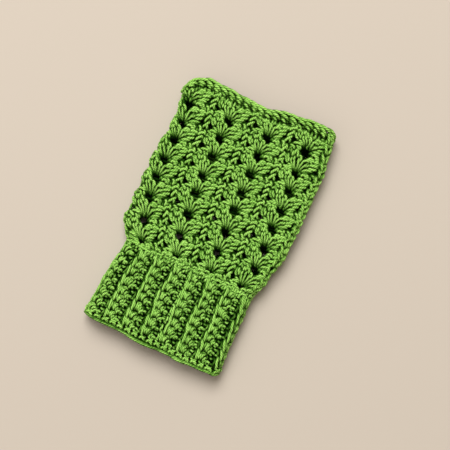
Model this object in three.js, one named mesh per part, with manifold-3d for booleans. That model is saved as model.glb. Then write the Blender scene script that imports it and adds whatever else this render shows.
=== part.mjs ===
// A crocheted fingerless mitt lying flat: a ribbed cuff, a hand part worked in shell stitches with
// eyelets, and an edging round at the wrist and at the fingers. Millimetres; +Z is up, +Y runs from
// the wrist to the fingers, +X runs across the palm.
import * as THREE from "three";
import { mergeVertices } from "three/addons/utils/BufferGeometryUtils.js";
import Module from "manifold-3d";

// Heights of the four pieces, from the wrist to the fingers
const WRIST_EDGING_HEIGHT = 6;
const CUFF_LENGTH = 49;
const SHELL_ROWS_LENGTH = 99;
const FINGER_EDGING_HEIGHT = 6;

// Outside sizes of the tube as it lies pressed flat
const CUFF_WIDTH = 92;
const HAND_WIDTH = 101;
const LYING_DEPTH = 15;
const FRONT_CROWN = 1;

// Crocheted walls, and how far the stitches stand out of them
const CUFF_WALL = 4.2;
const HAND_WALL = 3.5;
const EDGING_WALL = 4;
const RIB_RELIEF = 1.2;
const SHELL_RELIEF = 1.1;
const EDGING_RELIEF = 0.6;
const STITCH_CLEARANCE = 0.3;

// Stitch pattern
const SHELLS_AROUND = 8;
const RIBS_AROUND = 15;
const EYELET_WIDTH = 4.6;
const EYELET_HEIGHT = 5.2;
const POST_WIDTH = 3.4;
const POST_GAP_WIDTH = 3.2;
const POST_GAP_HEIGHT = 5;

// Thumb slit in the side fold, just behind the join post
const THUMB_SLIT_START = 27;
const THUMB_SLIT_LENGTH = 37;
const THUMB_SLIT_GAPE = 5;

// Height of each round of shells, as a share of the mean round
const SHELL_ROUNDS = [
  { height: 1.08 },
  { height: 1.08 },
  { height: 1.06 },
  { height: 0.95 },
  { height: 1.02 },
  { height: 0.99 },
  { height: 0.97 },
  { height: 0.85 },
];

// Outline of the cuff. along: share of the cuff with its edging, from the wrist. left, right and
// wale: shares of half the cuff width, where the wale is the line of eyelets that all others are
// counted from.
const CUFF_OUTLINE = [
  { along: 0.0, left: 1.06, right: 0.94, wale: 0.24 },
  { along: 0.45, left: 1.015, right: 0.925, wale: 0.25 },
  { along: 0.95, left: 0.945, right: 0.93, wale: 0.26 },
];

// Outline of the hand. along: share of the hand with its edging, from the cuff. left, right and
// wale: shares of half the hand width.
const HAND_OUTLINE = [
  { along: 0.09, left: 0.985, right: 0.91, wale: 0.2 },
  { along: 0.27, left: 1.0, right: 0.985, wale: 0.185 },
  { along: 0.48, left: 1.0, right: 1.0, wale: 0.172 },
  { along: 0.77, left: 0.947, right: 1.0, wale: 0.165 },
  { along: 0.89, left: 0.94, right: 0.985, wale: 0.166 },
  { along: 1.0, left: 0.8, right: 0.95, wale: 0.168 },
];

// How the finger edge runs. across: share of the half width. rise: share of the mean round.
const FINGER_EDGE = [
  { across: -1.0, rise: -0.2 },
  { across: -0.65, rise: 0.05 },
  { across: 0.0, rise: 0.02 },
  { across: 0.35, rise: 0.14 },
  { across: 0.7, rise: 0.36 },
  { across: 1.0, rise: 0.05 },
];

// How the wrist edge runs. across: share of the half width. rise: share of its edging's height.
const WRIST_EDGE = [
  { across: -1.0, rise: 0.95 },
  { across: -0.88, rise: 0.4 },
  { across: -0.6, rise: 0.3 },
  { across: 0.0, rise: 0.02 },
  { across: 0.7, rise: 0.06 },
  { across: 0.86, rise: 0.25 },
  { across: 1.0, rise: 0.9 },
];

// Profile of one rib of the cuff: the ridge strand first, then the two rows of loops beside it
const RIB_PROFILE = [
  { height: 1.0 },
  { height: 0.5 },
  { height: 0.75 },
  { height: 0.4 },
  { height: 0.0 },
];

// Values that follow from the sizes above
const CUFF_START = WRIST_EDGING_HEIGHT;
const HAND_START = CUFF_START + CUFF_LENGTH;
const HAND_END = HAND_START + SHELL_ROWS_LENGTH;
const MITT_LENGTH = HAND_END + FINGER_EDGING_HEIGHT;
const MEAN_ROUND = SHELL_ROWS_LENGTH / SHELL_ROUNDS.length;
const FINGER_FADE = 2 * MEAN_ROUND;
const WRIST_FADE = 2 * WRIST_EDGING_HEIGHT;
const CUFF_COLUMNS = RIBS_AROUND * RIB_PROFILE.length;
const HAND_COLUMNS = SHELLS_AROUND * 8;
const STOPS_PER_ROUND = 3;

// Shares that shape the fabric
const FLATTENED_SHARE = 0.4; // part of the relief that the surface below presses flat
const FADED_RIBS = { share: 0.12, height: 0.45 }; // plain stitches at the top of the ribs
const RIB_PHASE = 0.052; // turn from the wale to the nearest ridge strand
const JOIN_POST = 1.5; // shells from the wale to the join post, rightwards
const FAN = { narrowing: 1.25, foot: 0.15, swell: 0.75 };
const POST = { share: 0.1, height: 0.7 };
const GAP_RISE = 0.25; // foot of the gaps beside the posts, in each round
const EYELET_TOP = 0.55; // width of an eyelet's top, as a share of its greatest width
const EDGE_ROUNDING = { start: 0.12, span: 0.72 }; // part of a half wave over an edging's height
const HOLE_REACH = 4; // how far hole prisms pass the wall, in reliefs
const COLOURS = { hand: 0x5e9f38, cuff: 0x579634, edging: 0x68a840 };

const wasm = await Module();
wasm.setup();

function smoothstep(value) {
  const q = THREE.MathUtils.clamp(value, 0, 1);
  return q * q * (3 - 2 * q);
}

// Value of one column of a table at a place, eased between its rows
function easedColumn(table, placeName, place, column) {
  const next = table.findIndex((row) => row[placeName] > place);
  if (next === 0) return table[0][column];
  if (next < 0) return table[table.length - 1][column];
  const before = table[next - 1];
  const after = table[next];
  const q = smoothstep((place - before[placeName]) / (after[placeName] - before[placeName]));
  return THREE.MathUtils.lerp(before[column], after[column], q);
}

// Both outlines as one table in millimetres along the mitt
function outlineRows() {
  const cuffRows = CUFF_OUTLINE.map((row) => ({
    along: row.along * HAND_START,
    left: (row.left * CUFF_WIDTH) / 2,
    right: (row.right * CUFF_WIDTH) / 2,
    wale: (row.wale * CUFF_WIDTH) / 2,
  }));
  const handRows = HAND_OUTLINE.map((row) => ({
    along: HAND_START + row.along * (MITT_LENGTH - HAND_START),
    left: (row.left * HAND_WIDTH) / 2,
    right: (row.right * HAND_WIDTH) / 2,
    wale: (row.wale * HAND_WIDTH) / 2,
  }));
  return [...cuffRows, ...handRows];
}

const OUTLINE = outlineRows();

// Middle of the wall at one height: two straight layers joined by two half-round folds
function sectionAt(along, fabric) {
  const base = fabric.wall / 2 + FLATTENED_SHARE * fabric.relief;
  const proud = fabric.wall / 2 + fabric.relief;
  const radius = (LYING_DEPTH - base - proud) / 2;
  const outerLeft = easedColumn(OUTLINE, "along", along, "left");
  const outerRight = easedColumn(OUTLINE, "along", along, "right");
  const left = outerLeft - proud;
  const right = outerRight - proud;
  const wale = easedColumn(OUTLINE, "along", along, "wale");
  const fold = Math.PI * radius;
  const around = 2 * (left + right - 2 * radius + fold);
  return { base, radius, left, right, outerLeft, outerRight, wale, fold, around };
}

// Point and outward normal of the section at a share of the way around, counted from the wale
// leftwards across the front, round the left fold and back along the palm side
function ringPoint(section, turn) {
  const { radius, left, right, wale, fold, around } = section;
  const flatLeft = left - radius;
  const flatRight = right - radius;
  let run = THREE.MathUtils.euclideanModulo(turn, 1) * around;
  if (run < wale + flatLeft) return { x: wale - run, z: 2 * radius, nx: 0, nz: 1 };
  run -= wale + flatLeft;
  if (run < fold) {
    const bend = run / radius;
    const nx = -Math.sin(bend);
    const nz = Math.cos(bend);
    return { x: -flatLeft + radius * nx, z: radius + radius * nz, nx, nz };
  }
  run -= fold;
  if (run < flatLeft + flatRight) return { x: run - flatLeft, z: 0, nx: 0, nz: -1 };
  run -= flatLeft + flatRight;
  if (run < fold) {
    const bend = run / radius;
    const nx = Math.sin(bend);
    const nz = -Math.cos(bend);
    return { x: flatRight + radius * nx, z: radius + radius * nz, nx, nz };
  }
  return { x: flatRight - (run - fold), z: 2 * radius, nx: 0, nz: 1 };
}

// How far the open ends rise or dip at a place, fading out along the mitt
function endRise(along, across) {
  const finger = easedColumn(FINGER_EDGE, "across", across, "rise") * MEAN_ROUND;
  const wrist = easedColumn(WRIST_EDGE, "across", across, "rise") * WRIST_EDGING_HEIGHT;
  const fingerShare = smoothstep((along - MITT_LENGTH + FINGER_FADE) / FINGER_FADE);
  const wristShare = 1 - smoothstep(along / WRIST_FADE);
  return finger * fingerShare + wrist * wristShare;
}

// A point of the crocheted wall, offset outwards from its middle. The palm side rests flat.
function wallPoint(along, turn, offset, fabric, inset = 0) {
  const section = sectionAt(along, fabric);
  const ring = ringPoint(section, turn);
  const x = ring.x + ring.nx * offset;
  const across = x / (x < 0 ? section.outerLeft : section.outerRight);
  const front = ring.z / (2 * section.radius);
  const crown = FRONT_CROWN * front * (1 - across * across);
  const z = section.base + ring.z + ring.nz * offset + crown;
  return new THREE.Vector3(x, along + endRise(along, across) + inset, Math.max(0, z));
}

// A tube of crocheted wall, closed at both ends: outside with its relief, inside smooth. An end
// that meets the next piece keeps half of the clearance to it.
function wallTube({ fabric, outerStops, innerStops, columns, relief }) {
  const positions = [];
  const faces = [];
  const first = outerStops[0];
  const last = outerStops[outerStops.length - 1];
  const insetAt = (along) => {
    if (along === first && first > 0) return STITCH_CLEARANCE / 2;
    if (along === last && last < MITT_LENGTH) return -STITCH_CLEARANCE / 2;
    return 0;
  };
  const addRing = (along, height) => {
    for (let column = 0; column < columns; column += 1) {
      const turn = column / columns;
      const offset = height(turn, along);
      positions.push(...wallPoint(along, turn, offset, fabric, insetAt(along)).toArray());
    }
  };
  const outside = (turn, along) => fabric.wall / 2 + fabric.relief * relief(turn, along);
  const inside = () => -fabric.wall / 2;
  outerStops.forEach((along) => addRing(along, outside));
  [...innerStops].reverse().forEach((along) => addRing(along, inside));
  const rings = outerStops.length + innerStops.length;
  for (let ring = 0; ring < rings; ring += 1) {
    const nextRing = (ring + 1) % rings;
    for (let column = 0; column < columns; column += 1) {
      const nextColumn = (column + 1) % columns;
      const a = ring * columns + column;
      const b = ring * columns + nextColumn;
      const c = nextRing * columns + nextColumn;
      const d = nextRing * columns + column;
      faces.push(a, c, b, a, d, c);
    }
  }
  const geometry = new THREE.BufferGeometry();
  geometry.setAttribute("position", new THREE.Float32BufferAttribute(positions, 3));
  geometry.setIndex(faces);
  return geometry;
}

function toSolid(geometry) {
  const plain = geometry.clone();
  plain.deleteAttribute("normal");
  plain.deleteAttribute("uv");
  const merged = mergeVertices(plain);
  return new wasm.Manifold(
    new wasm.Mesh({
      numProp: 3,
      vertProperties: new Float32Array(merged.attributes.position.array),
      triVerts: new Uint32Array(merged.index.array),
    }),
  );
}

function toGeometry(solid) {
  const mesh = solid.getMesh();
  const geometry = new THREE.BufferGeometry();
  geometry.setAttribute("position", new THREE.BufferAttribute(mesh.vertProperties, 3));
  geometry.setIndex(new THREE.BufferAttribute(mesh.triVerts, 1));
  return geometry;
}

// A prism through the wall at one place. Its corners are given across (towards +turn) and along.
function holeThrough(corners, along, turn, fabric) {
  const depth = fabric.wall + HOLE_REACH * fabric.relief;
  const shape = new THREE.Shape(corners.map(([x, y]) => new THREE.Vector2(x, y)));
  const prism = new THREE.ExtrudeGeometry(shape, { depth, bevelEnabled: false });
  prism.translate(0, 0, -depth / 2);
  const ring = ringPoint(sectionAt(along, fabric), turn);
  const normal = new THREE.Vector3(ring.nx, 0, ring.nz);
  const up = new THREE.Vector3(0, 1, 0);
  const across = new THREE.Vector3().crossVectors(up, normal);
  const basis = new THREE.Matrix4().makeBasis(across, up, normal);
  basis.setPosition(wallPoint(along, turn, 0, fabric));
  prism.applyMatrix4(basis);
  return toSolid(prism);
}

// Evenly spaced places between two ends, both included
function stops(from, to, count) {
  return Array.from({ length: count + 1 }, (_, i) => THREE.MathUtils.lerp(from, to, i / count));
}

// Start of each round of shells along the mitt, and the end of the last one
function roundStarts() {
  const total = SHELL_ROUNDS.reduce((sum, round) => sum + round.height, 0);
  const starts = [HAND_START];
  SHELL_ROUNDS.forEach((round) => {
    starts.push(starts[starts.length - 1] + (round.height / total) * SHELL_ROWS_LENGTH);
  });
  starts[starts.length - 1] = HAND_END;
  return starts;
}

const ROUND_STARTS = roundStarts();

// Height of the shell stitches, from 0 to 1: a fan that swells from its eyelet, and a slim post
// between two fans
function shellHeight(turn, along) {
  const fromWale = THREE.MathUtils.euclideanModulo(turn * SHELLS_AROUND + 0.5, 1) - 0.5;
  const next = Math.max(1, ROUND_STARTS.findIndex((start) => start > along + STITCH_CLEARANCE));
  const top = ROUND_STARTS[next];
  const bottom = ROUND_STARTS[next - 1];
  const rise = THREE.MathUtils.clamp((along - bottom) / (top - bottom), 0, 1);
  const fan = Math.max(0, Math.cos(FAN.narrowing * Math.PI * fromWale));
  const swell = Math.sin(Math.PI * (FAN.foot + FAN.swell * rise));
  const post = Math.max(0, 1 - (0.5 - Math.abs(fromWale)) / POST.share);
  return fan * swell + POST.height * post;
}

function ribHeight(turn) {
  const steps = RIB_PROFILE.length;
  const place = THREE.MathUtils.euclideanModulo((turn - RIB_PHASE) * RIBS_AROUND, 1) * steps;
  return RIB_PROFILE[Math.round(place) % steps].height;
}

// Height of an edging round, from 0 to 1, at a share of its own height
function edgeHeight(rise) {
  return Math.sin(Math.PI * (EDGE_ROUNDING.start + EDGE_ROUNDING.span * rise));
}

function material(color) {
  return new THREE.MeshStandardMaterial({ color, roughness: 0.95, metalness: 0 });
}

function wristEdging() {
  const fabric = { wall: EDGING_WALL, relief: EDGING_RELIEF };
  const geometry = wallTube({
    fabric,
    outerStops: stops(0, CUFF_START, 3),
    innerStops: stops(0, CUFF_START, 1),
    columns: CUFF_COLUMNS,
    relief: (_, along) => edgeHeight(along / CUFF_START),
  });
  return new THREE.Mesh(geometry, material(COLOURS.edging));
}

function ribbedCuff() {
  const fabric = { wall: CUFF_WALL, relief: RIB_RELIEF };
  const fadeFrom = HAND_START - FADED_RIBS.share * CUFF_LENGTH;
  const ribs = (turn, along) => ribHeight(turn) * (along > fadeFrom ? FADED_RIBS.height : 1);
  const geometry = wallTube({
    fabric,
    outerStops: [...stops(CUFF_START, fadeFrom, 3), HAND_START],
    innerStops: stops(CUFF_START, HAND_START, 2),
    columns: CUFF_COLUMNS,
    relief: ribs,
  });
  return new THREE.Mesh(geometry, material(COLOURS.cuff));
}

// Eyelets: one teardrop at the foot of each shell, point down, from the second round up
function eyelets(fabric) {
  const w = EYELET_WIDTH / 2;
  const h = EYELET_HEIGHT / 2;
  const teardrop = [[0, -h], [w, 0], [EYELET_TOP * w, h], [-EYELET_TOP * w, h], [-w, 0]];
  const holes = [];
  for (let round = 1; round < SHELL_ROUNDS.length; round += 1) {
    for (let shell = 0; shell < SHELLS_AROUND; shell += 1) {
      const along = ROUND_STARTS[round];
      holes.push(holeThrough(teardrop, along, shell / SHELLS_AROUND, fabric));
    }
  }
  return holes;
}

// Gaps beside the posts: one triangle in each round, on the right of the post as the front shows
function postGaps(fabric) {
  const near = -POST_WIDTH / 2;
  const far = near - POST_GAP_WIDTH;
  const triangle = [[near, 0], [near, POST_GAP_HEIGHT], [far, 0]];
  const slitEnd = THUMB_SLIT_START + THUMB_SLIT_LENGTH;
  const holes = [];
  for (let round = 0; round < SHELL_ROUNDS.length; round += 1) {
    for (let shell = 0; shell < SHELLS_AROUND; shell += 1) {
      const along = THREE.MathUtils.lerp(ROUND_STARTS[round], ROUND_STARTS[round + 1], GAP_RISE);
      const aboveCuff = along - HAND_START;
      const atJoin = shell === SHELLS_AROUND - Math.ceil(JOIN_POST);
      const inSlit = aboveCuff > THUMB_SLIT_START - POST_GAP_HEIGHT && aboveCuff < slitEnd;
      if (atJoin && inSlit) continue;
      holes.push(holeThrough(triangle, along, (shell + 0.5) / SHELLS_AROUND, fabric));
    }
  }
  return holes;
}

// Thumb slit: a long pointed gap at the outermost line of the right fold
function thumbSlit(fabric) {
  const half = THUMB_SLIT_LENGTH / 2;
  const gape = THUMB_SLIT_GAPE / 2;
  const straight = half - 2 * gape;
  const lens = [
    [0, -half], [gape, -straight], [gape, straight], [0, half], [-gape, straight], [-gape, -straight],
  ];
  const along = HAND_START + THUMB_SLIT_START + half;
  const section = sectionAt(along, fabric);
  const toFold = section.right - section.radius - section.wale + section.fold / 2;
  return holeThrough(lens, along, -toFold / section.around, fabric);
}

function shellHand() {
  const fabric = { wall: HAND_WALL, relief: SHELL_RELIEF };
  const outerStops = [HAND_START];
  for (let round = 0; round < SHELL_ROUNDS.length; round += 1) {
    const inRound = stops(ROUND_STARTS[round], ROUND_STARTS[round + 1], STOPS_PER_ROUND);
    outerStops.push(...inRound.slice(1));
  }
  const geometry = wallTube({
    fabric,
    outerStops,
    innerStops: stops(HAND_START, outerStops[outerStops.length - 1], 4),
    columns: HAND_COLUMNS,
    relief: shellHeight,
  });
  let solid = toSolid(geometry);
  for (const hole of [...eyelets(fabric), ...postGaps(fabric), thumbSlit(fabric)]) {
    solid = solid.subtract(hole);
  }
  return new THREE.Mesh(toGeometry(solid), material(COLOURS.hand));
}

function fingerEdging() {
  const fabric = { wall: EDGING_WALL, relief: EDGING_RELIEF };
  const geometry = wallTube({
    fabric,
    outerStops: stops(HAND_END, MITT_LENGTH, 3),
    innerStops: stops(HAND_END, MITT_LENGTH, 1),
    columns: HAND_COLUMNS,
    relief: (_, along) => edgeHeight((along - HAND_END) / FINGER_EDGING_HEIGHT),
  });
  return new THREE.Mesh(geometry, material(COLOURS.edging));
}

// The mitt, with its origin under the middle of its bounding box
function fingerlessMitt() {
  const pieces = {
    wrist_edging: wristEdging(),
    ribbed_cuff: ribbedCuff(),
    shell_hand: shellHand(),
    finger_edging: fingerEdging(),
  };
  const mitt = new THREE.Group();
  for (const [name, piece] of Object.entries(pieces)) {
    piece.name = name;
    mitt.add(piece);
  }
  const box = new THREE.Box3().setFromObject(mitt, true);
  const centre = box.getCenter(new THREE.Vector3());
  mitt.position.set(-centre.x, -centre.y, -box.min.z);
  return mitt;
}

export default fingerlessMitt();
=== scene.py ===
# %% [markdown]
# # A crocheted fingerless mitt
#
# The mitt is a tube of yarn that lies pressed flat: a ribbed cuff, a hand part of shell stitches
# with small eyelets, and an edging at both ends. Crochet is one long yarn worked into loops, so
# the lesson never draws a bumpy sheet with a picture of stitches on it. Each visible loop is a
# strand with its own thickness, drawn once in a flat stitch chart, repeated around and along the
# mitt, and rolled up on the form that the imported CAD model has.
#
# The CAD model is loaded first. It stays where it is.

# %% Load the imported frame
import math

import bpy
import numpy as np
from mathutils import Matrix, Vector


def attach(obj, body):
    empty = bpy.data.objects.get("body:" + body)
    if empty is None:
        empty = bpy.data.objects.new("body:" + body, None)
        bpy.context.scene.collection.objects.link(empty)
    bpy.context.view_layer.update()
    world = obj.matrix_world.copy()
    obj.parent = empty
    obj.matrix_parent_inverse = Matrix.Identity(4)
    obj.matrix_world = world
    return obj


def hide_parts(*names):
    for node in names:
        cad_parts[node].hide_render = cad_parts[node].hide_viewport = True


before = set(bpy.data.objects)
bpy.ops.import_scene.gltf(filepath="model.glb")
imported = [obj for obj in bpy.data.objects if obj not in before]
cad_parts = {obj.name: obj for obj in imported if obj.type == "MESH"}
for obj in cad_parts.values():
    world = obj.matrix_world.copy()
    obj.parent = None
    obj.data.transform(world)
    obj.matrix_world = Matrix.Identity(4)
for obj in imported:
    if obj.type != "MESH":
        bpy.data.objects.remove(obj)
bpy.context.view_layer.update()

# %% [markdown]
# ## The form that the stitches lie on
#
# The real mitt is a soft tube, a little wider at the shells than at the cuff. One could sculpt it
# or drape it, but the stitches have to land on the CAD pieces to the millimetre. So the form is
# written down as the same few sizes and outline tables that shaped the solids: how wide the tube
# is at each height, how the open ends wave, and how thick the crocheted wall is. Millimetres are
# used until the very end, because yarn is easier to think of as 2 mm than as 0.002 m.

# %% Sizes of the mitt, in millimetres
WRIST_EDGING, CUFF, HAND, FINGER_EDGING = 6.0, 49.0, 99.0, 6.0  # lengths along the mitt
CUFF_START = WRIST_EDGING
HAND_START = CUFF_START + CUFF
HAND_END = HAND_START + HAND
MITT_LENGTH = HAND_END + FINGER_EDGING
HALF_CUFF, HALF_HAND = 46.0, 50.5
LYING_DEPTH, FRONT_CROWN = 15.0, 1.0
ORIGIN_SHIFT = np.array([-0.161, -82.287, 0.0])  # puts the origin under the middle of the box

# how thick each wall is, and how far its relief stands out of it
HAND_SECTION = (3.5, 1.1)
CUFF_SECTION = (4.2, 1.2)
EDGING_SECTION = (4.0, 0.6)
FLATTENED = 0.4  # part of the relief that the surface below presses flat

SHELLS_AROUND, RIBS_AROUND = 8, 15
RIB_PHASE = 0.052  # turn from the eyelet line to the nearest ridge of the cuff
ROUND_SHARES = (1.08, 1.08, 1.06, 0.95, 1.02, 0.99, 0.97, 0.85)  # heights of the rounds of shells
ROUNDS = len(ROUND_SHARES)
MEAN_ROUND = HAND / ROUNDS
ROUND_HEIGHTS = np.array(ROUND_SHARES) / sum(ROUND_SHARES) * HAND
ROUND_STARTS = HAND_START + np.concatenate([[0.0], np.cumsum(ROUND_HEIGHTS)])
print("Round starts, mm:", ROUND_STARTS.round(1).tolist())

# %% [markdown]
# The outline is a table with a row for each height: the outer left side, the outer right side and
# the wale, which is the line of eyelets that all others are counted from. The open ends are not
# straight either. They wave by a few millimetres, and the left corner at the fingers is cut at a
# slant, where the real edging pulls it in.

# %% Outline tables
# columns: along, as a share of the part's length, then left, right and wale, in half widths
CUFF_OUTLINE = [
    (0.0, 1.05, 0.94, 0.24),
    (0.45, 1.015, 0.925, 0.25),
    (0.95, 0.945, 0.93, 0.26),
]
HAND_OUTLINE = [
    (0.09, 0.985, 0.915, 0.23),
    (0.27, 1.0, 1.0, 0.215),
    (0.48, 1.0, 1.018, 0.2),
    (0.77, 0.952, 1.015, 0.195),
    (0.89, 0.99, 0.99, 0.195),
    (1.0, 1.0, 0.95, 0.198),
]
OUTLINE = np.array(
    [(along * HAND_START, *(share * HALF_CUFF for share in shares))
     for along, *shares in CUFF_OUTLINE]
    + [(HAND_START + along * (HAND + FINGER_EDGING), *(share * HALF_HAND for share in shares))
       for along, *shares in HAND_OUTLINE]
)

# columns: across, from -1 to 1, then how far the end rises there, in mean rounds of shells
FINGER_EDGE = np.array([
    (-1, 0.0), (-0.84, 0.1), (-0.7, 0.16), (-0.5, 0.16), (-0.3, 0.06), (0, 0.0),
    (0.2, 0.14), (0.4, 0.2), (0.7, 0.42), (0.93, 0.28), (1, 0.1),
])
CORNER_CUT = np.array([(-1, 0.75), (-0.93, 0.36), (-0.84, 0.1), (-0.75, 0.0), (1, 0.0)])
# the same columns, in lengths of the wrist edging
WRIST_EDGE = np.array([
    (-1, 0.75), (-0.94, 0.42), (-0.85, 0.34), (-0.6, 0.3), (0, 0.02),
    (0.7, 0.02), (0.9, 0.1), (1, 0.6),
])
print("Rows of the outline:", len(OUTLINE))


# %% Helpers that read the tables
SCALLOP = 0.7  # how far a shell bulges out at the left fold
SCALLOP_START, SCALLOP_END = 8.0, 20.0  # mm over which the bulges grow, and fade at the fingers
SCALLOP_TOP = 0.85  # where in a round the shell is widest


def smooth(q):
    """Eases from 0 to 1 with level ends."""
    q = np.clip(q, 0.0, 1.0)
    return q * q * (3 - 2 * q)


def eased(table, place, column):
    """A column of a table at each place, eased between its rows."""
    row = np.clip(np.searchsorted(table[:, 0], place, side="right") - 1, 0, len(table) - 2)
    low, high = table[row], table[row + 1]
    q = smooth((place - low[..., 0]) / (high[..., 0] - low[..., 0]))
    return low[..., column] + (high[..., column] - low[..., column]) * q


def scallop(along):
    """The shells bulge out a little at the left fold, once in each round."""
    row = np.interp(along, ROUND_STARTS, np.arange(ROUNDS + 1.0), left=0, right=ROUNDS)
    starts = smooth((along - HAND_START) / SCALLOP_START)
    ends = smooth((HAND_END - along) / SCALLOP_END)
    return SCALLOP * (starts * ends) * np.cos(2 * math.pi * (row - SCALLOP_TOP))


def edge_rise(across, along):
    """How far the stitches near the open ends follow the wave and the cut corner, in mm."""
    wave = eased(FINGER_EDGE, across, 1) * MEAN_ROUND
    wave_fade = smooth((along - MITT_LENGTH + 2 * MEAN_ROUND) / (2 * MEAN_ROUND))
    cut = eased(CORNER_CUT, across, 1) * MEAN_ROUND
    cut_fade = smooth((along - MITT_LENGTH + MEAN_ROUND) / MEAN_ROUND)
    wrist = eased(WRIST_EDGE, across, 1) * WRIST_EDGING
    wrist_fade = 1 - smooth(along / (2 * WRIST_EDGING))
    return wave * wave_fade - cut * cut_fade + wrist * wrist_fade


print("The finger end's left corner is cut by, mm:",
      edge_rise(np.array([-1.0, -0.9, -0.8]), np.full(3, MITT_LENGTH)).round(1).tolist())


# %% Section of the pressed tube, and points of its wall
def around_at(along, section):
    """The tube's section at each height: two straight layers and two round folds."""
    wall, relief = section
    base, proud = wall / 2 + FLATTENED * relief, wall / 2 + relief
    radius = (LYING_DEPTH - base - proud) / 2
    left, right = eased(OUTLINE, along, 1) + scallop(along), eased(OUTLINE, along, 2)
    flat_left, flat_right = left - proud - radius, right - proud - radius
    wale, fold = eased(OUTLINE, along, 3), math.pi * radius
    return dict(base=base, radius=radius, left=left, right=right, flat_left=flat_left,
                flat_right=flat_right, wale=wale, fold=fold,
                around=2 * (flat_left + flat_right + fold))


def on_wall(turn, along, offset, section):
    """Points of the wall. turn counts from the eyelet line leftwards across the front."""
    s = around_at(along, section)
    r = s["radius"]
    run = np.mod(turn, 1.0) * s["around"]
    first = s["wale"] + s["flat_left"]
    second = first + s["fold"]
    third = second + s["flat_left"] + s["flat_right"]
    fourth = third + s["fold"]
    bend_left, bend_right = (run - first) / r, (run - third) / r
    cases = [run < first, run < second, run < third, run < fourth]
    x = np.select(cases, [s["wale"] - run, -s["flat_left"] - r * np.sin(bend_left),
                          run - second - s["flat_left"],
                          s["flat_right"] + r * np.sin(bend_right)],
                  s["flat_right"] - (run - fourth))
    z = np.select(cases, [2 * r + 0 * run, r + r * np.cos(bend_left), 0 * run,
                          r - r * np.cos(bend_right)], 2 * r)
    nx = np.select(cases, [0 * run, -np.sin(bend_left), 0 * run, np.sin(bend_right)], 0.0)
    nz = np.select(cases, [1 + 0 * run, np.cos(bend_left), -1 + 0 * run, -np.cos(bend_right)],
                   1.0)
    x = x + nx * offset
    across = x / np.where(x < 0, s["left"], s["right"])
    crown = FRONT_CROWN * z / (2 * r) * (1 - across**2)
    height = s["base"] + z + nz * offset + crown
    return np.stack([x, along + edge_rise(across, along), height], axis=-1) + ORIGIN_SHIFT


some_point = on_wall(np.array([0.25]), np.array([100.0]), np.array([0.0]), HAND_SECTION)
print("A point of the left fold, mm:", some_point.round(2).tolist())

# %% [markdown]
# ## Yarn: chart strokes become strands
#
# In a chart, a loop of yarn is a short stroke: it comes up out of the fabric, lies on top for a
# few millimetres and dives under its neighbour. A stroke is a list of (right, up, height) points.
# Where a height is left out, the ends dive and the middle lies on top. A whole chart is then
# repeated in many cells, and one long array of points is much quicker than a list of objects.

# %% Strokes, and how a chart is repeated
rng = np.random.default_rng(11)
DIVE = -1.1  # height of a stroke's ends, where none is given


def stroke(radius, lift, *points):
    """A stroke of a chart, as its radius and its points (right, up, height)."""
    last = len(points) - 1
    dive = [DIVE if i in (0, last) else lift for i in range(last + 1)]
    return radius, np.array([(*p[:2], p[2] if len(p) > 2 else d) for p, d in zip(points, dive)],
                            float)


def repeat(cells):
    """All strokes of many (chart, column, row), as arrays with one entry for each point."""
    strokes = [(*one, column, row) for chart, column, row in cells for one in chart]
    counts = np.array([len(points) for _, points, _, _ in strokes])
    laid = {"counts": counts, "radius": np.repeat([s[0] for s in strokes], counts),
            "column": np.repeat([s[2] for s in strokes], counts),
            "row": np.repeat([s[3] for s in strokes], counts)}
    laid["u"], laid["v"], laid["height"] = np.concatenate([s[1] for s in strokes]).T
    return laid


def stroke_mean(laid, values):
    """The mean of the values over each stroke, given back at each of its points."""
    counts = laid["counts"]
    starts = np.concatenate([[0], np.cumsum(counts)[:-1]])
    return np.repeat(np.add.reduceat(values, starts) / counts, counts)


print("Points of a short stroke:", stroke(0.8, 0.3, (0, 0), (1, 2), (2, 3))[1].tolist())

# %% [markdown]
# By hand, a strand is a Bezier curve with a round bevel. Here it is the same: thousands of splines
# lie in one curve object, an operator gives them automatic handles, and another turns them all
# into a mesh. That is quick, and the strands stay neat. The caps are then merged with the sides,
# so that each strand is a closed tube, and its faces are turned outwards.

# %% Splines for placed strokes
MM = 0.001
THIN_END = 0.75  # a strand's ends, as a share of its radius
MERGE_WITHIN = 1e-6
FINE, COARSE = (8, 2), (6, 1)  # sides of a strand, and steps between two of its points


def draw_strands(curve, sides, steps, batches):
    """One spline for each stroke. Gives each one's length in mm and how many quads it becomes."""
    lengths, quads = [], []
    for counts, radius, points in batches:
        begin = 0
        for count in counts.tolist():
            part = points[begin:begin + count]
            shape = radius[begin:begin + count].copy()
            shape[[0, -1]] *= THIN_END
            spline = curve.splines.new("BEZIER")
            spline.bezier_points.add(count - 1)
            spline.bezier_points.foreach_set("co", (part * MM).ravel())
            spline.bezier_points.foreach_set("radius", shape)
            spline.resolution_u = steps
            lengths.append(np.linalg.norm(np.diff(part, axis=0), axis=1).sum())
            quads.append((count - 1) * steps * sides)
            begin += count
    return np.array(lengths), np.array(quads)


def curve_to_mesh(piece):
    """Gives the splines automatic handles and makes a mesh of them."""
    bpy.ops.object.select_all(action="DESELECT")
    bpy.context.view_layer.objects.active = piece
    piece.select_set(True)
    bpy.ops.object.mode_set(mode="EDIT")
    bpy.ops.curve.select_all(action="SELECT")
    bpy.ops.curve.handle_type_set(type="AUTOMATIC")
    bpy.ops.object.mode_set(mode="OBJECT")
    bpy.ops.object.convert(target="MESH")


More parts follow.
